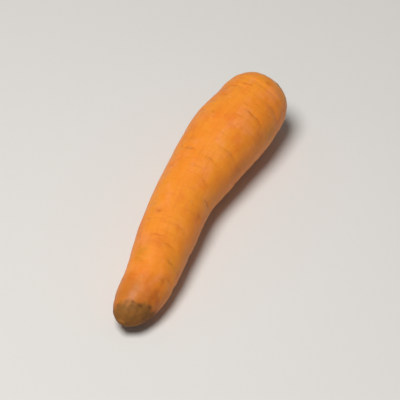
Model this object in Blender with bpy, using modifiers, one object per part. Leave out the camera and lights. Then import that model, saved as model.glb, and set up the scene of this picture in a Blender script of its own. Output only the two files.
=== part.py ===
"""A topped carrot: a thick-shouldered taproot lying on its side, with cut leaf stubs in its crown.

The root lies along X with its crown at +X and its tip at -X. The origin is the middle of its
footprint, on the surface that it lies on. Lengths are in metres, and MM is a millimetre.
"""

import math
import random

import bmesh
import bpy
import numpy as np

MM = 0.001

# The root. Distances are measured from its crown end towards its tip.
ROOT_LENGTH = 157 * MM
SHOULDER_LENGTH = 14.5 * MM
SHOULDER_FULLNESS = 2.8
TIP_LENGTH = 22 * MM
TIP_FULLNESS = 2.5
# (distance, radius): a club, thickest a fifth of the way down, with an almost even middle.
GIRTH_MM = (
    (0, 14.8),
    (14, 17.2),
    (32, 18.6),
    (54, 17.2),
    (78, 14.7),
    (104, 13.8),
    (130, 11.8),
    (157, 9.6),
)
# (distance, swing to +Y): the root grew round a bend, and its tip turns aside again.
SWING_MM = (
    (0, -8.4),
    (26, -2.3),
    (52, 2.4),
    (78, 5.4),
    (104, 5.0),
    (130, 3.1),
    (157, 5.8),
)

# The crown hollow, which the leaf stubs stand in.
CROWN_DEPTH = 5.0 * MM
CROWN_FLOOR_RADIUS = 6.3 * MM
CROWN_RIM_RADIUS = 11.0 * MM

# The scar of the thin tail that broke off the tip.
TAIL_RADIUS = 1.8 * MM
TAIL_LENGTH = 0.9 * MM

# The two worn flats that the root lies on: where they are, and how deep each cuts into its round.
BELLY_AT = 44 * MM
BELLY_CUT = 0.5 * MM
FOOT_AT = 120 * MM
FOOT_CUT = 0.3 * MM

# Cross creases, where side roots once left the skin in four rows.
CREASE_ROWS = 4
CREASE_SPACING = 9.5 * MM
CREASE_DEPTH = 0.36 * MM
CREASE_WIDTH = 1.7 * MM
CREASE_REACH = math.radians(30)
CREASE_BOW = 1.6 * MM
CREASE_SCATTER = math.radians(24)
CREASE_SIZES = (0.55, 1.15)
CREASE_GAPS = (0.6, 1.4)
FIRST_CREASE = 17 * MM
LAST_CREASE = 144 * MM
CREASE_SEED = 11

# Low rings round the shoulder, one ring at the tip, and a dent in the shoulder's flank.
RINGS_AT_MM = (7.5, 12.5, 19.0, 148.5)
RING_DEPTH = 0.2 * MM
RING_WIDTH = 1.3 * MM
DENT_AT = 24 * MM
DENT_ANGLE = math.radians(20)
DENT_DEPTH = 0.5 * MM
DENT_LENGTH = 7 * MM
DENT_REACH = math.radians(38)

# Slow swells of the skin: (height, waves round the root, turn for each millimetre along it, start).
SWELLS = (
    (0.18 * MM, 2, 0.045, 0.6),
    (0.12 * MM, 3, -0.03, 2.1),
    (0.10 * MM, 1, 0.16, -0.1),
    (0.10 * MM, -1, 0.16, 2.1),
)
# The skin's relief starts between these distances, and ends this far before the tip.
RELIEF_STARTS = (3.5 * MM, 9 * MM)
RELIEF_END = 4 * MM

# The mesh of the root. An outline is worked out at FINE_POINTS, then spaced evenly by these steps.
FINE_POINTS = 500
SIDES = 48
CROWN_STEP = 1.1 * MM
RING_STEP = 2.05 * MM
AXIS_MERGE = 0.01 * MM
SLOPE_NUDGE = 0.5 * MM
SHARP_EDGE = math.radians(50)

# The leaf stubs: a round stem plate with cut stalk bases in rings round a middle one.
SEAT_GAP = 0.35 * MM
PLATE_RADIUS = 6.0 * MM
PLATE_TOP_SHARE = 0.94
PLATE_THICKNESS = 1.5 * MM
PLATE_SIDES = 24
STUB_SIDES = 12
STUB_SINK = 1.0 * MM
STUB_TOP_SHARE = 0.86
STUB_SLANT = 0.16
STUB_LENGTHS = (0.8, 1.15)
STUB_SCATTER = math.radians(6)
STUB_SEED = 5
# (number in the ring, ring radius, stub width, stub thickness, length above the plate, lean outwards)
STUB_RINGS = (
    (6, 4.6 * MM, 4.4 * MM, 2.1 * MM, 2.7 * MM, math.radians(9)),
    (4, 2.2 * MM, 2.7 * MM, 1.6 * MM, 3.1 * MM, math.radians(5)),
    (1, 0.0, 1.6 * MM, 1.6 * MM, 2.2 * MM, 0.0),
)

SKIN_COLOUR = (0.83, 0.25, 0.035, 1.0)
SKIN_ROUGHNESS = 0.42
STALK_COLOUR = (0.23, 0.24, 0.07, 1.0)
STALK_ROUGHNESS = 0.7


def clear_scene():
    for thing in list(bpy.data.objects):
        bpy.data.objects.remove(thing, do_unlink=True)


def new_collection(name):
    collection = bpy.data.collections.new(name)
    bpy.context.scene.collection.children.link(collection)
    return collection


def new_material(name, colour, roughness):
    material = bpy.data.materials.new(name)
    material.use_nodes = True
    shader = material.node_tree.nodes["Principled BSDF"]
    shader.inputs["Base Color"].default_value = colour
    shader.inputs["Roughness"].default_value = roughness
    shader.inputs["Metallic"].default_value = 0.0
    return material


def through(stations_mm, distance):
    """A smooth curve through the stations, read at each distance."""
    at, value = np.array(stations_mm, dtype=float).T * MM
    slope = np.gradient(value, at)
    left = np.clip(np.searchsorted(at, distance) - 1, 0, len(at) - 2)
    gap = at[left + 1] - at[left]
    t = (distance - at[left]) / gap
    from_left = value[left] * (1 + 2 * t) * (1 - t) ** 2 + slope[left] * gap * t * (1 - t) ** 2
    from_right = value[left + 1] * t**2 * (3 - 2 * t) - slope[left + 1] * gap * t**2 * (1 - t)
    return from_left + from_right


def smooth_step(value, low, high):
    t = np.clip((value - low) / (high - low), 0, 1)
    return t * t * (3 - 2 * t)


def root_radius(distance):
    """The root's radius, with its round shoulder and tip, before the crown is hollowed."""
    into_shoulder = np.clip((SHOULDER_LENGTH - distance) / SHOULDER_LENGTH, 0, 1)
    into_tip = np.clip((distance - (ROOT_LENGTH - TIP_LENGTH)) / TIP_LENGTH, 0, 1)
    shoulder = (1 - into_shoulder**SHOULDER_FULLNESS) ** (1 / SHOULDER_FULLNESS)
    tip = (1 - into_tip**TIP_FULLNESS) ** (1 / TIP_FULLNESS)
    return through(GIRTH_MM, distance) * shoulder * tip


def crown_outline():
    """Points (radius, distance) from the middle of the crown hollow out over its rim."""
    shoulder = np.linspace(0, SHOULDER_LENGTH, FINE_POINTS)
    radius = np.linspace(0, CROWN_RIM_RADIUS, FINE_POINTS)
    skin = np.interp(radius, root_radius(shoulder), shoulder)
    hollow = 1 - smooth_step(radius, CROWN_FLOOR_RADIUS, CROWN_RIM_RADIUS)
    return np.column_stack([radius, skin + (CROWN_DEPTH - skin) * hollow])


def flank_outline(first):
    """Points from the rim's edge down the root's side and round its tip, to the tail scar."""
    middle = np.linspace(first, ROOT_LENGTH - TIP_LENGTH, FINE_POINTS)
    turn = np.linspace(0, math.pi / 2, FINE_POINTS)
    end = ROOT_LENGTH - TIP_LENGTH * (1 - np.sin(turn))
    distance = np.concatenate([middle, end[1:]])
    radius = root_radius(distance)
    kept = radius > TAIL_RADIUS
    return np.column_stack([radius[kept], distance[kept]])


def tail_outline():
    """The tail scar: a low round button on the very end."""
    turn = np.linspace(0, math.pi / 2, FINE_POINTS)
    return np.column_stack([TAIL_RADIUS * np.cos(turn), ROOT_LENGTH + TAIL_LENGTH * np.sin(turn)])


def evenly(outline, step):
    """The outline with its points an even step apart."""
    run = np.concatenate([[0], np.cumsum(np.linalg.norm(np.diff(outline, axis=0), axis=1))])
    stops = np.linspace(0, run[-1], round(run[-1] / step) + 1)
    return np.column_stack([np.interp(stops, run, column) for column in outline.T])


def blank_outline():
    crown = crown_outline()
    flank = flank_outline(crown[-1][1])
    side = evenly(np.concatenate([flank, tail_outline()]), RING_STEP)
    return np.concatenate([evenly(crown, CROWN_STEP), side[1:]])


def turned_blank():
    """The straight round root, turned from its outline about Z, with the crown on top."""
    points = [(radius, 0, -distance) for radius, distance in blank_outline()]
    profile = bpy.data.meshes.new("root_profile")
    profile.from_pydata(points, [(i, i + 1) for i in range(len(points) - 1)], [])
    blank = bpy.data.objects.new("root_blank", profile)
    bpy.context.scene.collection.objects.link(blank)
    screw = blank.modifiers.new("Turn", "SCREW")
    screw.axis = "Z"
    screw.steps = SIDES
    screw.render_steps = SIDES
    screw.use_merge_vertices = True
    screw.merge_threshold = AXIS_MERGE
    mesh = evaluated_mesh(blank)
    bpy.data.objects.remove(blank, do_unlink=True)
    bpy.data.meshes.remove(profile)
    return mesh


def evaluated_mesh(thing):
    graph = bpy.context.evaluated_depsgraph_get()
    return bpy.data.meshes.new_from_object(thing.evaluated_get(graph), depsgraph=graph)


def creases():
    """(distance, angle, reach, depth) of each cross crease, in four rows, unevenly spaced."""
    draw = random.Random(CREASE_SEED)
    found = []
    for row in range(CREASE_ROWS):
        row_angle = math.tau * (row + 0.5) / CREASE_ROWS
        distance = FIRST_CREASE + CREASE_SPACING * draw.random()
        while distance < LAST_CREASE:
            angle = row_angle + draw.uniform(-CREASE_SCATTER, CREASE_SCATTER)
            size = draw.uniform(*CREASE_SIZES)
            found.append((distance, angle, CREASE_REACH * size, CREASE_DEPTH * size))
            distance += CREASE_SPACING * draw.uniform(*CREASE_GAPS)
    return found


def angle_from(angle, middle):
    """How far each angle is from the middle one, the short way round."""
    return (angle - middle + math.pi) % math.tau - math.pi


def relief(distance, angle):
    """How far the skin stands out from the round blank, in metres: below zero in a crease."""
    height = np.zeros(len(distance))
    for rise, waves, turn, start in SWELLS:
        height += rise * np.sin(waves * angle + turn * distance / MM + start)
    for at, middle, reach, depth in creases():
        across = np.clip(np.abs(angle_from(angle, middle)) / reach, 0, 1)
        along = (distance - at - CREASE_BOW * across**2) / CREASE_WIDTH
        height -= depth * np.cos(across * math.pi / 2) ** 2 * np.exp(-(along**2))
    for at in RINGS_AT_MM:
        height -= RING_DEPTH * np.exp(-(((distance - at * MM) / RING_WIDTH) ** 2))
    off_dent = angle_from(angle, DENT_ANGLE) / DENT_REACH
    height -= DENT_DEPTH * np.exp(-(((distance - DENT_AT) / DENT_LENGTH) ** 2) - off_dent**2)
    starting = smooth_step(distance, *RELIEF_STARTS)
    ending = smooth_step(distance, ROOT_LENGTH - RELIEF_END, ROOT_LENGTH)
    return height * starting * (1 - ending)


def middle_line(distance):
    """The root's middle line: it lies on its two flats, and it swings sideways as it grew."""
    belly = root_radius(np.array([BELLY_AT]))[0] - BELLY_CUT
    foot = root_radius(np.array([FOOT_AT]))[0] - FOOT_CUT
    height = belly + (foot - belly) * (distance - BELLY_AT) / (FOOT_AT - BELLY_AT)
    return np.column_stack([-distance, through(SWING_MM, distance), height])


def unit(vectors):
    return vectors / np.linalg.norm(vectors, axis=1)[:, None]


def laid_down(points):
    """Points of the straight, upright blank carried onto the bent root as it lies."""
    distance = -points[:, 2]
    on_line = np.clip(distance, 0, ROOT_LENGTH)
    ahead = np.clip(on_line + SLOPE_NUDGE, 0, ROOT_LENGTH)
    behind = np.clip(on_line - SLOPE_NUDGE, 0, ROOT_LENGTH)
    along = unit(middle_line(ahead) - middle_line(behind))
    sideways = unit(np.cross(along, (0, 0, 1)))
    upwards = np.cross(sideways, along)
    beyond = (distance - on_line)[:, None]
    return (
        middle_line(on_line)
        + along * beyond
        + sideways * points[:, :1]
        + upwards * points[:, 1:2]
    )


def mesh_points(mesh):
    points = np.empty(len(mesh.vertices) * 3)
    mesh.vertices.foreach_get("co", points)
    return points.reshape(-1, 3)


def set_mesh_points(mesh, points):
    mesh.vertices.foreach_set("co", points.ravel())
    mesh.update()


def finish(mesh, name, material, collection):
    mesh.name = name
    mesh.materials.clear()
    mesh.materials.append(material)
    mesh.shade_smooth()
    mesh.set_sharp_from_angle(angle=SHARP_EDGE)
    thing = bpy.data.objects.new(name, mesh)
    collection.objects.link(thing)
    return thing


def make_taproot(collection, material):
    """The root: turned, creased, bent, and worn flat where it lies."""
    mesh = turned_blank()
    points = mesh_points(mesh)
    radius = np.hypot(points[:, 0], points[:, 1])
    angle = np.arctan2(points[:, 1], points[:, 0])
    raised = radius + relief(-points[:, 2], angle)
    points[:, 0] = raised * np.cos(angle)
    points[:, 1] = raised * np.sin(angle)
    points = laid_down(points)
    points[:, 2] = np.maximum(points[:, 2], 0)
    set_mesh_points(mesh, points)
    return finish(mesh, "taproot", material, collection)


def stem_plate():
    """The round disc of stem that the stalk bases grew on, seated in the crown hollow."""
    bm = bmesh.new()
    bmesh.ops.create_cone(
        bm,
        cap_ends=True,
        segments=PLATE_SIDES,
        radius1=PLATE_RADIUS,
        radius2=PLATE_RADIUS * PLATE_TOP_SHARE,
        depth=PLATE_THICKNESS,
    )
    bmesh.ops.translate(bm, verts=bm.verts, vec=(0, 0, plate_top() - PLATE_THICKNESS / 2))
    return mesh_from(bm, "stem_plate")


def plate_top():
    return -CROWN_DEPTH + SEAT_GAP + PLATE_THICKNESS


def mesh_from(bm, name):
    mesh = bpy.data.meshes.new(name)
    bm.to_mesh(mesh)
    bm.free()
    return mesh


def stalk_base(draw, heading, ring_radius, width, thickness, length, lean):
    """One cut stalk, a crescent round the crown's middle: sunk into the plate, its cut aslant."""
    length *= draw.uniform(*STUB_LENGTHS)
    slant = draw.uniform(-STUB_SLANT, STUB_SLANT)
    cos_lean, sin_lean = math.cos(lean), math.sin(lean)
    cos_head, sin_head = math.cos(heading), math.sin(heading)
    bm = bmesh.new()
    bmesh.ops.create_cone(
        bm,
        cap_ends=True,
        segments=STUB_SIDES,
        radius1=0.5,
        radius2=0.5 * STUB_TOP_SHARE,
        depth=1.0,
    )
    for vert in bm.verts:
        across = vert.co.y * width
        curl = across**2 / (2 * ring_radius) if ring_radius else 0
        outward = vert.co.x * thickness - curl
        rise = (vert.co.z + 0.5) * (length + STUB_SINK)
        if vert.co.z > 0:
            rise += slant * across
        reach = ring_radius + outward * cos_lean + rise * sin_lean
        vert.co = (
            reach * cos_head - across * sin_head,
            reach * sin_head + across * cos_head,
            plate_top() - STUB_SINK + rise * cos_lean - outward * sin_lean,
        )
    return mesh_from(bm, "stalk_base")


def make_leaf_stubs(collection, material):
    """The cut stalk bases and their plate, grown together into one body in the crown."""
    loose = new_collection("stalk_bases")
    draw = random.Random(STUB_SEED)
    for count, ring_radius, width, thickness, length, lean in STUB_RINGS:
        start = draw.uniform(0, math.tau)
        for place in range(count):
            heading = start + math.tau * place / count + draw.uniform(-STUB_SCATTER, STUB_SCATTER)
            mesh = stalk_base(draw, heading, ring_radius, width, thickness, length, lean)
            loose.objects.link(bpy.data.objects.new("stalk_base", mesh))
    plate = bpy.data.objects.new("stem_plate", stem_plate())
    bpy.context.scene.collection.objects.link(plate)
    join = plate.modifiers.new("Grown together", "BOOLEAN")
    join.operation = "UNION"
    join.operand_type = "COLLECTION"
    join.collection = loose
    join.solver = "EXACT"
    mesh = evaluated_mesh(plate)
    for thing in [plate, *loose.objects]:
        bpy.data.objects.remove(thing, do_unlink=True)
    bpy.data.collections.remove(loose)
    set_mesh_points(mesh, laid_down(mesh_points(mesh)))
    return finish(mesh, "leaf_stubs", material, collection)


def centre_footprint(things):
    """Moves the meshes together so that the middle of their footprint is over the origin."""
    every = np.concatenate([mesh_points(thing.data) for thing in things])
    middle = (every.min(axis=0) + every.max(axis=0)) / 2
    middle[2] = 0
    for thing in things:
        set_mesh_points(thing.data, mesh_points(thing.data) - middle)


def main():
    clear_scene()
    carrot = new_collection("carrot")
    skin = new_material("carrot_skin", SKIN_COLOUR, SKIN_ROUGHNESS)
    stalk = new_material("cut_stalk", STALK_COLOUR, STALK_ROUGHNESS)
    things = [make_taproot(carrot, skin), make_leaf_stubs(carrot, stalk)]
    centre_footprint(things)


main()
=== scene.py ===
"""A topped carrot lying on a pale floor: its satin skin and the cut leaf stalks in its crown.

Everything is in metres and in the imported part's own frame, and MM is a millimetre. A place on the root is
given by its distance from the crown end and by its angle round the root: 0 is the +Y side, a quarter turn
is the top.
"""

import math
import random

import bpy
import numpy as np
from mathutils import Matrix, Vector


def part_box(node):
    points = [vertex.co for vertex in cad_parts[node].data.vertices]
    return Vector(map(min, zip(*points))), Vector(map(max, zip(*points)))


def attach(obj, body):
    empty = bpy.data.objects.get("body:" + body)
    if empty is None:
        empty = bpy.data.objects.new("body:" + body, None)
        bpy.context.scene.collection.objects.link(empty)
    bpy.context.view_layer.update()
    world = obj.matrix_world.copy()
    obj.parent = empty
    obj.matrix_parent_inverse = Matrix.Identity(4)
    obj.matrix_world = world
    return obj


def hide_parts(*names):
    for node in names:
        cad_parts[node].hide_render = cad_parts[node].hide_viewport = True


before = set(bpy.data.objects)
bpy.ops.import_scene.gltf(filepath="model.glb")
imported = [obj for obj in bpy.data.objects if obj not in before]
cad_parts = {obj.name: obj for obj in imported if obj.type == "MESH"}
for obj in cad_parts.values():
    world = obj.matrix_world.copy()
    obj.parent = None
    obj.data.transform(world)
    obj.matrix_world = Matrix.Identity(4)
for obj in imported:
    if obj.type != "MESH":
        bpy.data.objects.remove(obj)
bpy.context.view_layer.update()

# The taproot
# One grown body: orange flesh under a thin skin, drawn out from its round shoulder to a blunt tip. It is
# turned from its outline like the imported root, ring by ring, with the finer marks of the skin raised or
# sunk along it: cross creases, the scars of side roots, rings round the shoulder and a dried, worn tip.
MM = 0.001
ROOT_LENGTH = 157 * MM
SHOULDER_LENGTH = 14.5 * MM
SHOULDER_FULLNESS = 2.8
TIP_LENGTH = 22 * MM
TIP_FULLNESS = 2.5
# (distance, radius) and (distance, swing to +Y)
GIRTH_MM = ((0, 14.8), (14, 17.2), (32, 18.6), (54, 17.2), (78, 14.7), (104, 13.8), (130, 11.8), (157, 9.6))
SWING_MM = ((0, -8.4), (26, -2.3), (52, 2.4), (78, 5.4), (104, 5.0), (130, 3.1), (157, 5.8))
CROWN_DEPTH = 5.0 * MM
CROWN_FLOOR_RADIUS = 6.3 * MM
CROWN_RIM_RADIUS = 11.0 * MM
TAIL_RADIUS = 1.8 * MM
TAIL_LENGTH = 0.9 * MM
BELLY_AT = 44 * MM
BELLY_CUT = 0.5 * MM
FOOT_AT = 120 * MM
FOOT_CUT = 0.3 * MM
OUTLINE_POINTS = 500
SLOPE_NUDGE = 0.5 * MM
SIDES = 208
RING_STEP = 0.38 * MM

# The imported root's own relief, which the finer marks are laid over.
CREASE_ROWS = 4
CREASE_SPACING = 9.5 * MM
CREASE_DEPTH = 0.36 * MM
CREASE_WIDTH = 1.7 * MM
CREASE_REACH = math.radians(30)
CREASE_BOW = 1.6 * MM
CREASE_SCATTER = math.radians(24)
CREASE_SIZES = (0.55, 1.15)
CREASE_GAPS = (0.6, 1.4)
FIRST_CREASE = 17 * MM
LAST_CREASE = 144 * MM
CREASE_SEED = 11
RINGS_AT_MM = (7.5, 12.5, 19.0, 148.5)
RING_DEPTH = 0.2 * MM
RING_WIDTH = 1.3 * MM
DENT_AT = 24 * MM
DENT_ANGLE = math.radians(20)
DENT_DEPTH = 0.5 * MM
DENT_LENGTH = 7 * MM
DENT_REACH = math.radians(38)
SWELLS = (
    (0.18 * MM, 2, 0.045, 0.6),
    (0.12 * MM, 3, -0.03, 2.1),
    (0.10 * MM, 1, 0.16, -0.1),
    (0.10 * MM, -1, 0.16, 2.1),
)
RELIEF_STARTS = (3.5 * MM, 9 * MM)
RELIEF_END = 4 * MM

# Marks that the photograph shows: (distance in mm, angle in degrees, half length round in mm, depth in mm).
SEEN_CREASES = (
    (39.0, 71, 1.8, 0.13), (35.2, 109, 2.9, 0.13), (29.7, 119, 1.4, 0.11), (27.6, 107, 1.6, 0.07),
    (34.6, 152, 1.7, 0.12), (61.0, 50, 1.4, 0.14), (100.3, 70, 1.7, 0.12), (55.1, 171, 3.0, 0.12),
    (114.0, 88, 6.2, 0.10), (93.8, 152, 2.0, 0.08), (26.9, 68, 1.5, 0.11), (142.4, 146, 2.2, 0.12),
    (18.6, 66, 5.5, 0.06), (16.5, 87, 5.0, 0.05), (124.7, 134, 2.8, 0.07), (133.4, 139, 1.6, 0.10),
)
# (distance in mm, angle in degrees, half length round in mm, height in mm)
SEEN_SCARS = (
    (27.6, 77, 0.9, 0.17), (41.0, 76, 0.9, 0.17), (22.3, 144, 0.9, 0.18), (10.8, 145, 0.8, 0.15),
    (93.9, 51, 0.9, 0.15), (134.0, 169, 0.9, 0.16), (137.2, 89, 0.8, 0.10), (150.7, 97, 1.5, 0.14),
    (71.0, 92, 0.6, 0.09), (118.5, 104, 0.6, 0.10),
)
# (distance in mm, angle in degrees, half width in mm, depth in mm)
SEEN_PITS = ((149.0, 132, 0.8, 0.26), (146.4, 160, 0.7, 0.26), (149.6, 105, 0.5, 0.16), (145.2, 192, 0.7, 0.2))
# (distance in mm, angle in degrees, half length along and half width round in mm, strength)
# The russet tints are partly the skin's own redder spots and partly painted shade on the -Y flank and above the tip.
SEEN_RUSSET_AND_SHADE = (
    (8.5, 112, 1.3, 1.6, 0.7), (142.0, 146, 4.5, 6.5, 0.9), (100.3, 70, 1.4, 2.4, 0.6), (55.0, 168, 7.0, 4.0, 0.5),
    (36.0, 158, 5.0, 3.0, 0.4), (117.5, 92, 3.0, 7.0, 0.35), (93.8, 150, 3.0, 2.5, 0.4), (134.0, 140, 3.0, 1.6, 0.5),
)
SEEN_OLIVE = (
    (124.2, 62, 4.0, 3.0, 0.6), (124.7, 140, 3.5, 2.6, 0.5), (27.2, 170, 6.0, 4.0, 0.5), (144.0, 84, 4.0, 3.0, 0.4),
)


def through(stations_mm, distance):
    """A smooth curve through the stations, read at each distance."""
    at, value = np.array(stations_mm, dtype=float).T * MM
    slope = np.gradient(value, at)
    left = np.clip(np.searchsorted(at, distance) - 1, 0, len(at) - 2)
    gap = at[left + 1] - at[left]
    t = (distance - at[left]) / gap
    from_left = value[left] * (1 + 2 * t) * (1 - t) ** 2 + slope[left] * gap * t * (1 - t) ** 2
    from_right = value[left + 1] * t**2 * (3 - 2 * t) - slope[left + 1] * gap * t**2 * (1 - t)
    return from_left + from_right


def smooth_step(value, low, high):
    t = np.clip((value - low) / (high - low), 0, 1)
    return t * t * (3 - 2 * t)


def root_radius(distance):
    """The root's radius, with its round shoulder and tip, before the crown is hollowed."""
    into_shoulder = np.clip((SHOULDER_LENGTH - distance) / SHOULDER_LENGTH, 0, 1)
    into_tip = np.clip((distance - (ROOT_LENGTH - TIP_LENGTH)) / TIP_LENGTH, 0, 1)
    shoulder = (1 - into_shoulder**SHOULDER_FULLNESS) ** (1 / SHOULDER_FULLNESS)
    tip = (1 - into_tip**TIP_FULLNESS) ** (1 / TIP_FULLNESS)
    return through(GIRTH_MM, distance) * shoulder * tip


def root_outline():
    """Points (radius, distance) from the middle of the crown hollow, over its rim, to the tail scar."""
    shoulder = np.linspace(0, SHOULDER_LENGTH, OUTLINE_POINTS)
    radius = np.linspace(0, CROWN_RIM_RADIUS, OUTLINE_POINTS)
    skin = np.interp(radius, root_radius(shoulder), shoulder)
    hollow = 1 - smooth_step(radius, CROWN_FLOOR_RADIUS, CROWN_RIM_RADIUS)
    crown = np.column_stack([radius, skin + (CROWN_DEPTH - skin) * hollow])
    turn = np.linspace(0, math.pi / 2, OUTLINE_POINTS)
    middle = np.linspace(crown[-1][1], ROOT_LENGTH - TIP_LENGTH, OUTLINE_POINTS)
    end = ROOT_LENGTH - TIP_LENGTH * (1 - np.sin(turn))
    flank = np.concatenate([middle[1:], end[1:]])
    flank = np.column_stack([root_radius(flank), flank])
    flank = flank[flank[:, 0] > TAIL_RADIUS]
    tail = np.column_stack([TAIL_RADIUS * np.cos(turn), ROOT_LENGTH + TAIL_LENGTH * np.sin(turn)])
    outline = np.concatenate([crown, flank, tail])
    run = np.concatenate([[0], np.cumsum(np.linalg.norm(np.diff(outline, axis=0), axis=1))])
    stops = np.linspace(0, run[-1], round(run[-1] / RING_STEP) + 1)
    return np.column_stack([np.interp(stops, run, column) for column in outline.T])


def middle_line(distance):
    """The root's middle line: it lies on its two flats, and it swings sideways as it grew."""
    belly = root_radius(np.array([BELLY_AT]))[0] - BELLY_CUT
    foot = root_radius(np.array([FOOT_AT]))[0] - FOOT_CUT
    height = belly + (foot - belly) * (distance - BELLY_AT) / (FOOT_AT - BELLY_AT)
    return np.column_stack([-distance, through(SWING_MM, distance), height])


def unit(vectors):
    return vectors / np.linalg.norm(vectors, axis=1)[:, None]


def laid_down(points):
    """Points of the straight, upright root carried onto the bent root as it lies."""
    distance = -points[:, 2]
    on_line = np.clip(distance, 0, ROOT_LENGTH)
    ahead = np.clip(on_line + SLOPE_NUDGE, 0, ROOT_LENGTH)
    behind = np.clip(on_line - SLOPE_NUDGE, 0, ROOT_LENGTH)
    along = unit(middle_line(ahead) - middle_line(behind))
    sideways = unit(np.cross(along, (0, 0, 1)))
    upwards = np.cross(sideways, along)
    beyond = (distance - on_line)[:, None]
    return (
        middle_line(on_line)
        + along * beyond
        + sideways * points[:, :1]
        + upwards * points[:, 1:2]
    )


def angle_from(angle, middle):
    """How far each angle is from the middle one, the short way round."""
    return (angle - middle + math.pi) % math.tau - math.pi


def creases():
    """(distance, angle, reach, depth) of each cross crease, in the rows where side roots once grew."""
    draw = random.Random(CREASE_SEED)
    found = []
    for row in range(CREASE_ROWS):
        row_angle = math.tau * (row + 0.5) / CREASE_ROWS
        distance = FIRST_CREASE + CREASE_SPACING * draw.random()
        while distance < LAST_CREASE:
            angle = row_angle + draw.uniform(-CREASE_SCATTER, CREASE_SCATTER)
            size = draw.uniform(*CREASE_SIZES)
            found.append((distance, angle, CREASE_REACH * size, CREASE_DEPTH * size))
            distance += CREASE_SPACING * draw.uniform(*CREASE_GAPS)
    return found


def in_groove(run, at, middle, reach, bow, width):
    """How far into one bowed cross groove each point of the skin lies, from 0 to 1."""
    depth = np.zeros(len(run))
    near = np.flatnonzero(np.abs(run - at) < abs(bow) + 3 * width)
    across = np.clip(np.abs(angle_from(angle[near], middle)) / reach, 0, 1)
    along = (run[near] - at - bow * across**2) / width
    depth[near] = np.cos(across * math.pi / 2) ** 2 * np.exp(-(along**2))
    return depth


LUMP_WAVES = 14


def lumps(size_mm, seed):
    """Soft seamless lumps of about that size over the skin, mostly between -1 and 1."""
    waves = np.random.default_rng(seed)
    headings = unit(waves.normal(size=(LUMP_WAVES, 3))) * math.tau / size_mm
    starts = waves.uniform(0, math.tau, LUMP_WAVES)
    return np.sin(skin_mm @ headings.T + starts).sum(axis=1) / math.sqrt(LUMP_WAVES)


# A round primitive is stood on end, and each of its rings is drawn out to the outline's next point.
outline = root_outline()
ball_rings = len(outline) - 1
bpy.ops.object.select_all(action="DESELECT")
bpy.ops.mesh.primitive_uv_sphere_add(segments=SIDES, ring_count=ball_rings, radius=ROOT_LENGTH / 2)
root = bpy.context.object
root.name = "carrot_root"
root.data.name = "carrot_root"
ball = np.empty(len(root.data.vertices) * 3)
root.data.vertices.foreach_get("co", ball)
ball = ball.reshape(-1, 3)
ring = np.rint(np.arccos(np.clip(ball[:, 2] * 2 / ROOT_LENGTH, -1, 1)) / (math.pi / ball_rings)).astype(int)
angle = np.arctan2(ball[:, 1], ball[:, 0])
blank, distance = outline[ring].T
slope = unit(np.gradient(outline, axis=0))
outward = np.column_stack([slope[:, 1], -slope[:, 0]])[ring]
skin_mm = np.column_stack([blank * np.cos(angle), blank * np.sin(angle), distance]) / MM

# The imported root's relief comes first, so that the fine root keeps its form.
form = np.zeros(len(ball))
for rise, waves, turn, start in SWELLS:
    form += rise * np.sin(waves * angle + turn * distance / MM + start)
for at, middle, reach, depth in creases():
    form -= depth * in_groove(distance, at, middle, reach, CREASE_BOW, CREASE_WIDTH)
for at in RINGS_AT_MM:
    form -= RING_DEPTH * np.exp(-(((distance - at * MM) / RING_WIDTH) ** 2))
off_dent = angle_from(angle, DENT_ANGLE) / DENT_REACH
form -= DENT_DEPTH * np.exp(-(((distance - DENT_AT) / DENT_LENGTH) ** 2) - off_dent**2)
form *= smooth_step(distance, *RELIEF_STARTS)
form *= 1 - smooth_step(distance, ROOT_LENGTH - RELIEF_END, ROOT_LENGTH)

# Fine lines wander a little as they run round the root, as all marks on grown skin do.
wavy = distance + (0.42 * lumps(11, 31) + 0.16 * lumps(3.4, 32)) * MM

# A broken fine line runs along the bottom of most creases, and a side root's scar sits in every other one.
LINE_WIDTH = 0.40 * MM
LINE_SHARE = 0.26
LINE_REACH_SHARE = (0.25, 0.8)
SCAR_LENGTH = 0.7 * MM
SCAR_WIDTH = 0.36 * MM
SCAR_HEIGHT = 0.07 * MM
SCAR_DRAW = (0.5, 1.3)
SCAR_SEED = 3
fine = np.zeros(len(ball))
# Painted shade: the crease shade darkens the skin along the grooves and in the moats round the scars, the more the
# deeper they are.
crease_painted_shade = np.zeros(len(ball))
scar_shade = np.zeros(len(ball))
draw = random.Random(SCAR_SEED)
scars = []
for number, (at, middle, reach, depth) in enumerate(creases()):
    size = draw.uniform(*SCAR_DRAW)
    reach *= draw.uniform(*LINE_REACH_SHARE)
    line = in_groove(wavy, at, middle, reach, CREASE_BOW, LINE_WIDTH * size)
    fine -= depth * LINE_SHARE * line * size
    crease_painted_shade += line * size * depth / CREASE_DEPTH
    if number % 2:
        scars.append((at, middle, SCAR_LENGTH * size, SCAR_HEIGHT * size))
for at, degrees, half_length, depth in SEEN_CREASES:
    girth = root_radius(np.array([at * MM]))[0]
    line = in_groove(wavy, at * MM, math.radians(degrees), half_length * MM / girth, 0.4 * MM, 0.46 * MM)
    fine -= depth * MM * line
    crease_painted_shade += line
for at, degrees, half_length, height in SEEN_SCARS:
    scars.append((at * MM, math.radians(degrees), half_length * MM, height * MM))
for at, middle, half_length, height in scars:
    girth = root_radius(np.array([at]))[0]
    off = angle_from(angle, middle) * girth / half_length
    bump = np.exp(-(((distance - at) / SCAR_WIDTH) ** 2) - off**2)
    moat = np.exp(-(((distance - at) / SCAR_WIDTH / 2.2) ** 2) - (off / 1.8) ** 2)
    fine += height * (1.5 * bump - 0.5 * moat)
    scar_shade += bump
    crease_painted_shade += 0.35 * np.clip(moat - bump, 0, 1)

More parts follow.
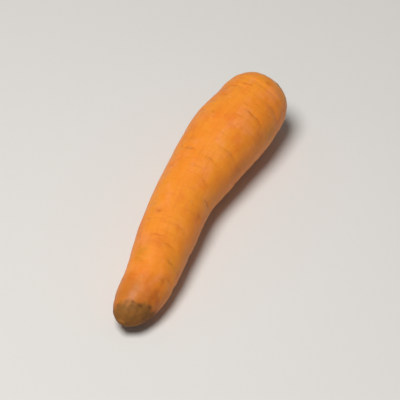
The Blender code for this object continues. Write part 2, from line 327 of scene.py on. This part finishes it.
# Fine wrinkles run round the root all over, closest together at the shoulder and towards the tip.
WRINKLES = 420
WRINKLE_HALF_MM = (0.8, 7.0)
WRINKLE_WIDTH_MM = (0.28, 0.6)
WRINKLE_DEPTH_MM = (0.01, 0.06)
WRINKLE_BOW_MM = (-0.8, 0.8)
WRINKLE_SEED = 21
draw = random.Random(WRINKLE_SEED)
for number in range(WRINKLES):
    along = draw.random()
    near_an_end = 0.5 + 0.5 * math.copysign(abs(2 * along - 1) ** 0.8, 2 * along - 1)
    at = (4 + 148 * near_an_end) * MM
    middle = draw.uniform(0, math.tau)
    girth = root_radius(np.array([at]))[0]
    reach = draw.uniform(*WRINKLE_HALF_MM) * MM / girth
    bow = draw.uniform(*WRINKLE_BOW_MM) * MM
    line = in_groove(wavy, at, middle, reach, bow, draw.uniform(*WRINKLE_WIDTH_MM) * MM)
    depth = draw.uniform(*WRINKLE_DEPTH_MM) * MM
    fine -= depth * line
    # Painted shade: each wrinkle darkens the skin the more the deeper it is.
    crease_painted_shade += 0.35 * line * depth / (WRINKLE_DEPTH_MM[1] * MM)

# The dried tip is dented and pitted where it has worn, and the worn skin ends on a slant.
TIP_SKIN_AT_MM = 149.6
TIP_SKIN_SLANT_MM = 4.3
TIP_SKIN_TURN = math.radians(20)
TIP_SKIN_EDGE_MM = 2.0
TIP_PAINTED_SHADE_MM = (131.0, 149.0)
pit_shade = np.zeros(len(ball))
for at, degrees, half_width, depth in SEEN_PITS:
    off = angle_from(angle, math.radians(degrees)) * blank / MM
    pit = np.exp(-((distance / MM - at) ** 2 + (off / 1.6) ** 2) / half_width**2)
    fine -= depth * MM * pit
    pit_shade += pit
# The dried tip's olive-brown is partly its own colour and partly painted shade, darkened beyond its own colour.
tip_edge = TIP_SKIN_AT_MM + TIP_SKIN_SLANT_MM * np.cos(angle - TIP_SKIN_TURN)
tip_edge += 0.8 * lumps(7, 41) + 0.5 * lumps(2.6, 40)
dried_tip_and_shade = smooth_step(distance / MM - tip_edge, -TIP_SKIN_EDGE_MM, TIP_SKIN_EDGE_MM)
fine += dried_tip_and_shade * 0.05 * MM * lumps(2.6, 42) - dried_tip_and_shade * (1 - dried_tip_and_shade) * 0.3 * MM
# Painted shade: the skin darkens over the last part of the root towards the tip.
tip_painted_shade = smooth_step(distance / MM + 1.5 * lumps(9, 39), *TIP_PAINTED_SHADE_MM)

# The crown's rim is puckered round the hollow, and the hollow's wall has the scars of lost leaves.
PUCKERS = 34
at_crown = distance < SHOULDER_LENGTH
rim = np.exp(-(((blank / MM - 9.5) / 2.8) ** 2)) * at_crown
puckers = np.sin(PUCKERS * angle + 1.4 * lumps(5, 43))
fine += rim * (0.09 * puckers + 0.10 * lumps(3.4, 44)) * MM
hollow_shade = (1 - smooth_step(blank / MM, 6.5, 11.0)) * at_crown
crown_shade = (1 - smooth_step(blank / MM + 0.9 * lumps(7, 45), 9.5, 13.5)) * at_crown
# Painted sheen: the top of the shoulder is paled towards peach.
shoulder_painted_sheen = 1 - smooth_step(distance / MM + 0.8 * lumps(8, 38), 1.0, 7.5)
fine += hollow_shade * 0.12 * MM * np.sin(blank / MM * 4.5 + lumps(6, 46))

# Soft tints of skin that the photograph shows in their places.
# Painted shade: the russet tint is partly the skin's own redder spots and partly shade painted on the -Y flank and
# above the tip.
russet_and_painted_shade = np.zeros(len(ball))
olive_shade = np.zeros(len(ball))
for tint, seen in ((russet_and_painted_shade, SEEN_RUSSET_AND_SHADE), (olive_shade, SEEN_OLIVE)):
    for at, degrees, half_length, half_width, strength in seen:
        off = angle_from(angle, math.radians(degrees)) * blank / MM / half_width
        tint += strength * np.exp(-(((wavy / MM - at) / half_length) ** 2) - off**2)
    tint *= 1 + 0.35 * lumps(4, 49)

# Low uneven lumps keep the skin from looking turned, and the root is bent and laid on its flats.
fine += 0.045 * MM * lumps(9, 47) * (1 - hollow_shade) + 0.015 * MM * lumps(3.2, 48)
fine *= 1 - smooth_step(distance, ROOT_LENGTH, ROOT_LENGTH + TAIL_LENGTH)
straight = np.column_stack([blank + form, distance]) + outward * fine[:, None]
points = np.column_stack([straight[:, 0] * np.cos(angle), straight[:, 0] * np.sin(angle), -straight[:, 1]])
points = laid_down(points)
points[:, 2] = np.maximum(points[:, 2], 0)


def fitted(points, node):
    """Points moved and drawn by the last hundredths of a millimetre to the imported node's box."""
    low, high = (np.array(corner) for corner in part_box(node))
    share = (points - points.min(axis=0)) / np.ptp(points, axis=0)
    return low + share * (high - low)


root.data.vertices.foreach_set("co", fitted(points, "taproot").ravel())
for name, values in (
    ("crease_painted_shade", crease_painted_shade),
    ("scar_shade", scar_shade),
    ("pit_shade", pit_shade),
    ("dried_tip_and_shade", dried_tip_and_shade),
    ("crown_shade", crown_shade),
    ("hollow_shade", hollow_shade),
    ("russet_and_painted_shade", russet_and_painted_shade),
    ("olive_shade", olive_shade),
    ("tip_painted_shade", tip_painted_shade),
    ("shoulder_painted_sheen", shoulder_painted_sheen),
):
    shade = root.data.attributes.new(name, "FLOAT", "POINT")
    shade.data.foreach_set("value", np.clip(values, 0, 1))
straight_skin = root.data.attributes.new("skin_mm", "FLOAT_VECTOR", "POINT")
skin_mm[:, 2] = wavy / MM
straight_skin.data.foreach_set("vector", skin_mm.ravel())
root.data.update()
bpy.ops.object.shade_smooth()


def srgb(code):
    """A colour written as #RRGGBB, turned linear for the shader."""
    shares = [int(code[i : i + 2], 16) / 255 for i in (1, 3, 5)]
    return (*[s / 12.92 if s <= 0.04045 else ((s + 0.055) / 1.055) ** 2.4 for s in shares], 1.0)


def new_material(name):
    material = bpy.data.materials.new(name)
    material.use_nodes = True
    return material


def add_node(material, kind, inputs, **settings):
    """Adds one node. An input is a value, or the socket that it is linked from."""
    made = material.node_tree.nodes.new(kind)
    for setting, value in settings.items():
        setattr(made, setting, value)
    for socket, value in inputs.items():
        if isinstance(value, bpy.types.NodeSocket):
            material.node_tree.links.new(value, made.inputs[socket])
        else:
            made.inputs[socket].default_value = value
    return made


# Washed carrot skin: thin, moist flesh with a satin shine and light that soaks in a little. Slow patches of
# yellower and redder orange, faint streaks lengthwise and fine bands round the root keep it alive.
skin = new_material("washed_carrot_skin")
place = add_node(skin, "ShaderNodeAttribute", {}, attribute_name="skin_mm").outputs["Vector"]
shades = {}
for name in (
    "crease_painted_shade",
    "scar_shade",
    "pit_shade",
    "dried_tip_and_shade",
    "crown_shade",
    "hollow_shade",
    "russet_and_painted_shade",
    "olive_shade",
    "tip_painted_shade",
    "shoulder_painted_sheen",
):
    shades[name] = add_node(skin, "ShaderNodeAttribute", {}, attribute_name=name).outputs["Fac"]
# (name, stretch of the pattern on each axis in mm, noise detail, where it starts and is full, its strength)
PATTERNS = (
    ("yellow_patches", (16, 16, 26), 3, 0.40, 0.66, 0.55),
    ("pink_patches", (9, 9, 15), 3, 0.48, 0.68, 0.45),
    ("red_patches", (7, 7, 11), 4, 0.50, 0.72, 0.45),
    ("streaks", (1.6, 1.6, 26), 4, 0.50, 0.76, 0.30),
    ("dark_bands", (9, 9, 1.1), 3, 0.54, 0.76, 0.30),
    ("pale_bands", (7, 7, 0.9), 3, 0.56, 0.80, 0.25),
    ("flecks", (0.9, 0.9, 0.6), 2, 0.62, 0.72, 0.30),
)
amounts = {}
for number, (name, size, detail, low, high, strength) in enumerate(PATTERNS):
    stretched = add_node(
        skin,
        "ShaderNodeMapping",
        {"Vector": place, "Location": (number * 7.3, number * 3.1, 0), "Scale": [1 / s for s in size]},
    )
    noise = add_node(
        skin,
        "ShaderNodeTexNoise",
        {"Vector": stretched.outputs["Vector"], "Scale": 1.0, "Detail": detail, "Roughness": 0.6},
    )
    level = add_node(
        skin,
        "ShaderNodeMapRange",
        {"Value": noise.outputs["Fac"], "From Min": low, "From Max": high, "To Max": strength},
        interpolation_type="SMOOTHSTEP",
    )
    amounts[name] = level.outputs["Result"]
blotches = add_node(skin, "ShaderNodeTexNoise", {"Vector": place, "Scale": 0.28, "Detail": 4.0}).outputs["Fac"]
blotches = add_node(skin, "ShaderNodeMapRange", {"Value": blotches, "From Min": 0.38, "From Max": 0.66})
tip_blotches = add_node(
    skin,
    "ShaderNodeMath",
    {0: blotches.outputs["Result"], 1: shades["dried_tip_and_shade"]},
    operation="MULTIPLY",
).outputs[0]
# (colour, how much of it shows over those before it, strength)
LAYERS = (
    ("#EE9830", amounts["yellow_patches"], 1.0),
    ("#F0945A", amounts["pink_patches"], 1.0),
    ("#DE6A20", amounts["red_patches"], 1.0),
    ("#CE6A1E", amounts["streaks"], 1.0),
    ("#D57420", amounts["dark_bands"], 1.0),
    ("#F4A648", amounts["pale_bands"], 1.0),
    ("#F6AE58", amounts["flecks"], 1.0),
    # The russet, shoulder, crease, tip darkening and tip layers below carry painted shade and a painted sheen
    # besides the skin's own colours.
    ("#C05E1C", shades["russet_and_painted_shade"], 0.70),
    ("#B98226", shades["olive_shade"], 0.60),
    ("#E6AC70", shades["shoulder_painted_sheen"], 0.55),
    ("#BC5E1E", shades["crease_painted_shade"], 0.45),
    ("#F0B070", shades["scar_shade"], 0.40),
    ("#A6591E", shades["tip_painted_shade"], 0.60),
    ("#7E5624", shades["dried_tip_and_shade"], 0.80),
    ("#5E3E1A", tip_blotches, 0.45),
    ("#5A3216", shades["pit_shade"], 0.75),
    ("#77702E", shades["crown_shade"], 0.75),
    ("#4E3A20", shades["hollow_shade"], 0.80),
)
colour = srgb("#EA8826")
for over, amount, strength in LAYERS:
    share = add_node(skin, "ShaderNodeMath", {0: amount, 1: strength}, operation="MULTIPLY").outputs[0]
    colour = add_node(skin, "ShaderNodeMix", {0: share, 6: colour, 7: srgb(over)}, data_type="RGBA").outputs[2]
dry = add_node(
    skin,
    "ShaderNodeMath",
    {0: shades["dried_tip_and_shade"], 1: shades["crown_shade"]},
    operation="MAXIMUM",
).outputs[0]
worn = add_node(skin, "ShaderNodeMath", {0: dry, 1: shades["scar_shade"]}, operation="MAXIMUM").outputs[0]
roughness = add_node(skin, "ShaderNodeMapRange", {"Value": worn, "To Min": 0.44, "To Max": 0.70}).outputs["Result"]
grain_place = add_node(skin, "ShaderNodeMapping", {"Vector": place, "Scale": (0.5, 0.5, 2.2)}).outputs["Vector"]
grain = add_node(skin, "ShaderNodeTexNoise", {"Vector": grain_place, "Scale": 1.0, "Detail": 5.0, "Roughness": 0.6})
bump = add_node(
    skin,
    "ShaderNodeBump",
    {"Height": grain.outputs["Fac"], "Strength": 0.6, "Distance": 0.12 * MM},
)
shader = skin.node_tree.nodes["Principled BSDF"]
skin.node_tree.links.new(colour, shader.inputs["Base Color"])
skin.node_tree.links.new(roughness, shader.inputs["Roughness"])
skin.node_tree.links.new(bump.outputs["Normal"], shader.inputs["Normal"])
shader.inputs["IOR"].default_value = 1.4
shader.inputs["Specular IOR Level"].default_value = 0.32
shader.inputs["Subsurface Weight"].default_value = 0.2
shader.inputs["Subsurface Radius"].default_value = (1.0, 0.35, 0.12)
shader.inputs["Subsurface Scale"].default_value = 2.0 * MM
root.data.materials.append(skin)
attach(root, "root")
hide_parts("taproot")

# The stem plate
# The short disc of stem that all the leaves grew from, seated in the crown hollow. The bases of leaves that
# fell early have left it ringed, and it has dried to a dull olive-brown.
SEAT_GAP = 0.35 * MM
PLATE_RADIUS = 6.0 * MM
PLATE_TOP_SHARE = 0.94
PLATE_THICKNESS = 1.5 * MM
PLATE_TOP = -CROWN_DEPTH + SEAT_GAP + PLATE_THICKNESS
PLATE_SIDES = 72
# How far each ring of the top goes in, and then up, in mm.
PLATE_RINGS_MM = ((0.25, -0.06), (0.15, -0.12), (0.45, 0.08), (0.15, -0.12), (0.5, 0.1), (0.15, -0.1), (1.0, 0.1))


def select_top(thing):
    """Selects the mesh's highest face alone, ready for face edits."""
    highest = max(thing.data.polygons, key=lambda face: face.center[2]).index
    bpy.context.tool_settings.mesh_select_mode = (False, False, True)
    for part in (*thing.data.vertices, *thing.data.edges):
        part.select = False
    for face in thing.data.polygons:
        face.select = face.index == highest


def mesh_points(thing):
    points = np.empty(len(thing.data.vertices) * 3)
    thing.data.vertices.foreach_get("co", points)
    return points.reshape(-1, 3)


bpy.ops.object.select_all(action="DESELECT")
bpy.ops.mesh.primitive_cone_add(
    vertices=PLATE_SIDES,
    radius1=PLATE_RADIUS,
    radius2=PLATE_RADIUS * PLATE_TOP_SHARE,
    depth=PLATE_THICKNESS,
    location=(0, 0, PLATE_TOP - PLATE_THICKNESS / 2),
)
bpy.ops.object.transform_apply(location=True, rotation=False, scale=False)
plate = bpy.context.object
plate.name = "stem_plate"
select_top(plate)
bpy.ops.object.mode_set(mode="EDIT")
for taken_in, raised in PLATE_RINGS_MM:
    bpy.ops.mesh.inset(thickness=taken_in * MM, depth=raised * MM)
bpy.ops.mesh.poke()
bpy.ops.object.mode_set(mode="OBJECT")
straight_plate = mesh_points(plate)

# The leaf stalks
# What the knife left of the leaves: short ribbed crescents of green stalk, in two rings round the youngest
# one, each with a dried tan cut face that shows the ends of its fibre bundles. One stalk is modelled a unit
# wide and high, and every stalk is a copy with its own width, length, lean and slanted cut.
STALK_SIDES = 40
# (height, share of the foot's width) of each level, then how far the cut face goes in and up at each step.
STALK_LEVELS = ((0.0, 1.0), (0.2, 0.97), (0.4, 0.94), (0.6, 0.91), (0.8, 0.885), (0.93, 0.865), (0.985, 0.85))
CUT_FACE_STEPS = ((0.02, 0.015), (0.035, 0.0), (0.05, -0.03), (0.09, -0.035), (0.11, -0.02))
CUT_FACE_FROM = 0.9
STUB_SINK = 1.0 * MM
STUB_SLANT = 0.16
STUB_LENGTHS = (0.8, 1.15)
STUB_SCATTER = math.radians(6)
STUB_SEED = 5
# (number in the ring, ring radius, stub width, stub thickness, length above the plate, lean outwards)
STUB_RINGS = (
    (6, 4.6 * MM, 4.4 * MM, 2.1 * MM, 2.7 * MM, math.radians(9)),
    (4, 2.2 * MM, 2.7 * MM, 1.6 * MM, 3.1 * MM, math.radians(5)),
    (1, 0.0, 1.6 * MM, 1.6 * MM, 2.2 * MM, 0.0),
)
STALK_RIBS = 11
RIB_SHARE = 0.035
CUT_UNEVEN = 0.12 * MM
CUT_SEED = 8
bpy.ops.object.select_all(action="DESELECT")
bpy.ops.mesh.primitive_circle_add(vertices=STALK_SIDES, radius=0.5, fill_type="NGON")
model_stalk = bpy.context.object
select_top(model_stalk)
bpy.ops.object.mode_set(mode="EDIT")
for (below, wide), (height, narrower) in zip(STALK_LEVELS, STALK_LEVELS[1:]):
    bpy.ops.mesh.extrude_region_move(TRANSFORM_OT_translate={"value": (0, 0, height - below)})
    bpy.ops.transform.resize(value=(narrower / wide, narrower / wide, 1), center_override=(0, 0, height))
for taken_in, raised in CUT_FACE_STEPS:
    bpy.ops.mesh.inset(thickness=taken_in, depth=raised)
bpy.ops.mesh.poke()
bpy.ops.mesh.select_all(action="SELECT")
bpy.ops.mesh.normals_make_consistent(inside=False)
bpy.ops.object.mode_set(mode="OBJECT")
unit_stalk = mesh_points(model_stalk)
round_stalk = np.arctan2(unit_stalk[:, 1], unit_stalk[:, 0])
from_middle = np.hypot(unit_stalk[:, 0], unit_stalk[:, 1])
ribs = 1 + RIB_SHARE * np.cos(STALK_RIBS * round_stalk) * smooth_step(from_middle, 0.2, 0.42)
cut_shade = (unit_stalk[:, 2] > CUT_FACE_FROM) * (1 - smooth_step(from_middle, 0.395, 0.425))


def stalk_points(heading, ring_radius, width, thickness, length, lean):
    """One cut stalk's points in the upright root, and its own (across, outwards, up) in mm."""
    length *= draw.uniform(*STUB_LENGTHS)
    slant = draw.uniform(-STUB_SLANT, STUB_SLANT)
    across = unit_stalk[:, 1] * ribs * width
    outward = unit_stalk[:, 0] * ribs * thickness
    own_mm = np.column_stack([across, outward, unit_stalk[:, 2] * length]) / MM
    if ring_radius:
        outward = outward - across**2 / (2 * ring_radius)
    rise = unit_stalk[:, 2] * (length + STUB_SINK)
    rise += slant * across * smooth_step(unit_stalk[:, 2], 0.3, 1.0)
    starts = [cut_draw.uniform(0, math.tau) for _ in range(3)]
    uneven = sum(np.sin(own_mm @ (1.9 * (n + 1), 2.6 - n, 0) + start) for n, start in enumerate(starts)) / 3
    rise += CUT_UNEVEN * (uneven - 1) * smooth_step(unit_stalk[:, 2], 0.8, 0.97)
    reach = ring_radius + outward * math.cos(lean) + rise * math.sin(lean)
    points = np.column_stack([
        reach * math.cos(heading) - across * math.sin(heading),
        reach * math.sin(heading) + across * math.cos(heading),
        PLATE_TOP - STUB_SINK + rise * math.cos(lean) - outward * math.sin(lean),
    ])
    return points, own_mm


draw = random.Random(STUB_SEED)
cut_draw = random.Random(CUT_SEED)
stalks = []
for count, ring_radius, width, thickness, length, lean in STUB_RINGS:
    start = draw.uniform(0, math.tau)
    for number in range(count):
        heading = start + math.tau * number / count + draw.uniform(-STUB_SCATTER, STUB_SCATTER)
        upright_points, own_mm = stalk_points(heading, ring_radius, width, thickness, length, lean)
        stalk = model_stalk.copy()
        stalk.data = model_stalk.data.copy()
        stalk.name = f"leaf_stalk_{len(stalks) + 1}"
        bpy.context.scene.collection.objects.link(stalk)
        shade = stalk.data.attributes.new("cut_shade", "FLOAT", "POINT")
        shade.data.foreach_set("value", cut_shade)
        own = stalk.data.attributes.new("stalk_mm", "FLOAT_VECTOR", "POINT")
        own.data.foreach_set("vector", (own_mm + (0, 0, 9.0 * len(stalks))).ravel())
        stalks.append((stalk, upright_points))
bpy.data.objects.remove(model_stalk)

# The plate and its stalks are laid down together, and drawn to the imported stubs' box.
in_crown = [(plate, straight_plate), *stalks]
laid = laid_down(np.concatenate([points for _, points in in_crown]))
laid = np.split(fitted(laid, "leaf_stubs"), np.cumsum([len(points) for _, points in in_crown])[:-1])
for (thing, _), points in zip(in_crown, laid):
    thing.data.vertices.foreach_set("co", points.ravel())
    thing.data.update()
    bpy.ops.object.select_all(action="DESELECT")
    thing.select_set(True)
    bpy.context.view_layer.objects.active = thing
    bpy.ops.object.shade_smooth_by_angle(angle=math.radians(50))

# Cut carrot stalk: pale olive flesh that has browned in patches and dried tan across the cut, where a ring
# of fibre bundles shows as darker dots. Matt, with a fine lengthwise grain.
stalk_flesh = new_material("cut_carrot_stalk")
own_place = add_node(stalk_flesh, "ShaderNodeAttribute", {}, attribute_name="stalk_mm").outputs["Vector"]
cut = add_node(stalk_flesh, "ShaderNodeAttribute", {}, attribute_name="cut_shade").outputs["Fac"]
height = add_node(stalk_flesh, "ShaderNodeSeparateXYZ", {"Vector": own_place}).outputs["Z"]
fibres_place = add_node(stalk_flesh, "ShaderNodeMapping", {"Vector": own_place, "Scale": (3.2, 3.2, 0.4)})
fibres = add_node(
    stalk_flesh,
    "ShaderNodeTexNoise",
    {"Vector": fibres_place.outputs["Vector"], "Scale": 1.0, "Detail": 3.0},
)
blotches = add_node(stalk_flesh, "ShaderNodeTexNoise", {"Vector": own_place, "Scale": 0.8, "Detail": 4.0})
bundles = add_node(
    stalk_flesh,
    "ShaderNodeTexVoronoi",
    {"Vector": own_place, "Scale": 1.7, "Randomness": 0.7},
    voronoi_dimensions="2D",
)
bundle_dots = add_node(
    stalk_flesh,
    "ShaderNodeMapRange",
    {"Value": bundles.outputs["Distance"], "From Min": 0.34, "From Max": 0.2, "To Max": 0.7},
).outputs["Result"]
browned = add_node(
    stalk_flesh,
    "ShaderNodeMapRange",
    {"Value": blotches.outputs["Fac"], "From Min": 0.42, "From Max": 0.66, "To Max": 0.8},
).outputs["Result"]
STALK_LAYERS = (
    ("#5F6A2A", fibres.outputs["Fac"], 0.9),
    ("#7A6232", browned, 0.9),
    ("#B89A62", cut, 0.95),
)
colour = srgb("#8E9448")
for over, amount, strength in STALK_LAYERS:
    share = add_node(stalk_flesh, "ShaderNodeMath", {0: amount, 1: strength}, operation="MULTIPLY").outputs[0]
    mixed = {0: share, 6: colour, 7: srgb(over)}
    colour = add_node(stalk_flesh, "ShaderNodeMix", mixed, data_type="RGBA").outputs[2]
dots_on_cut = add_node(stalk_flesh, "ShaderNodeMath", {0: bundle_dots, 1: cut}, operation="MULTIPLY").outputs[0]
for over, amount in (("#7C5A30", dots_on_cut), ("#6B4A24", browned)):
    share = add_node(stalk_flesh, "ShaderNodeMath", {0: amount, 1: 0.6}, operation="MULTIPLY").outputs[0]
    mixed = {0: share, 6: colour, 7: srgb(over)}
    colour = add_node(stalk_flesh, "ShaderNodeMix", mixed, data_type="RGBA").outputs[2]
bump = add_node(
    stalk_flesh,
    "ShaderNodeBump",
    {"Height": fibres.outputs["Fac"], "Strength": 0.7, "Distance": 0.15 * MM},
)
shader = stalk_flesh.node_tree.nodes["Principled BSDF"]
stalk_flesh.node_tree.links.new(colour, shader.inputs["Base Color"])
stalk_flesh.node_tree.links.new(bump.outputs["Normal"], shader.inputs["Normal"])
shader.inputs["Roughness"].default_value = 0.75
for thing, _ in in_crown:
    thing.data.materials.append(stalk_flesh)
    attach(thing, "root")
    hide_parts("leaf_stubs")

# The studio
# A plain pale floor under a soft white sky, one broad soft light from above, and a camera at the
# photograph's viewing angle, close enough for the carrot to fill the frame.
bpy.ops.object.select_all(action="DESELECT")
bpy.ops.mesh.primitive_plane_add(size=6.0, location=(0, 0, -0.1 * MM))
floor = bpy.context.object
floor.name = "floor"
paper = new_material("matt_white_paper")
paper_shader = paper.node_tree.nodes["Principled BSDF"]
paper_shader.inputs["Base Color"].default_value = srgb("#D6D3CE")
paper_shader.inputs["Roughness"].default_value = 0.9
floor.data.materials.append(paper)

world = bpy.data.worlds.new("soft_sky")
world.use_nodes = True
world.node_tree.nodes["Background"].inputs["Color"].default_value = srgb("#FFFFFF")
world.node_tree.nodes["Background"].inputs["Strength"].default_value = 0.15
bpy.context.scene.world = world

CAMERA_ELEVATION = math.radians(47)
CAMERA_HEADING = math.radians(69)
CAMERA_DISTANCE = 1.0
AIM = np.array([1.25, -0.41, 13.5]) * MM
LENS_MM = 190
right = np.array([math.cos(CAMERA_HEADING), -math.sin(CAMERA_HEADING), 0])
forward = np.array([
    math.sin(CAMERA_HEADING) * math.cos(CAMERA_ELEVATION),
    math.cos(CAMERA_HEADING) * math.cos(CAMERA_ELEVATION),
    -math.sin(CAMERA_ELEVATION),
])
up = np.cross(right, forward)


def facing(name, data, place, target):
    """A camera or a light at its place, turned to face the target."""
    thing = bpy.data.objects.new(name, data)
    bpy.context.scene.collection.objects.link(thing)
    thing.location = place
    thing.rotation_mode = "QUATERNION"
    thing.rotation_quaternion = Vector(target - place).to_track_quat("-Z", "Y")
    return thing


camera = bpy.data.cameras.new("camera")
camera.lens = LENS_MM
camera.clip_start = 0.05
bpy.context.scene.camera = facing("camera", camera, AIM - forward * CAMERA_DISTANCE, AIM)
# (name, share to the right, up and towards the camera, distance, size across, power in watts)
LIGHTS = (
    ("key", -0.22, 0.5, 0.84, 1.1, 0.5, 12.4),
)
for name, to_right, to_top, to_camera, away, size, power in LIGHTS:
    heading = right * to_right + up * to_top - forward * to_camera
    light = bpy.data.lights.new(name, "AREA")
    light.shape = "DISK"
    light.size = size
    light.energy = power
    facing(name, light, AIM + heading / np.linalg.norm(heading) * away, AIM)
bpy.context.scene.view_settings.view_transform = "Standard"
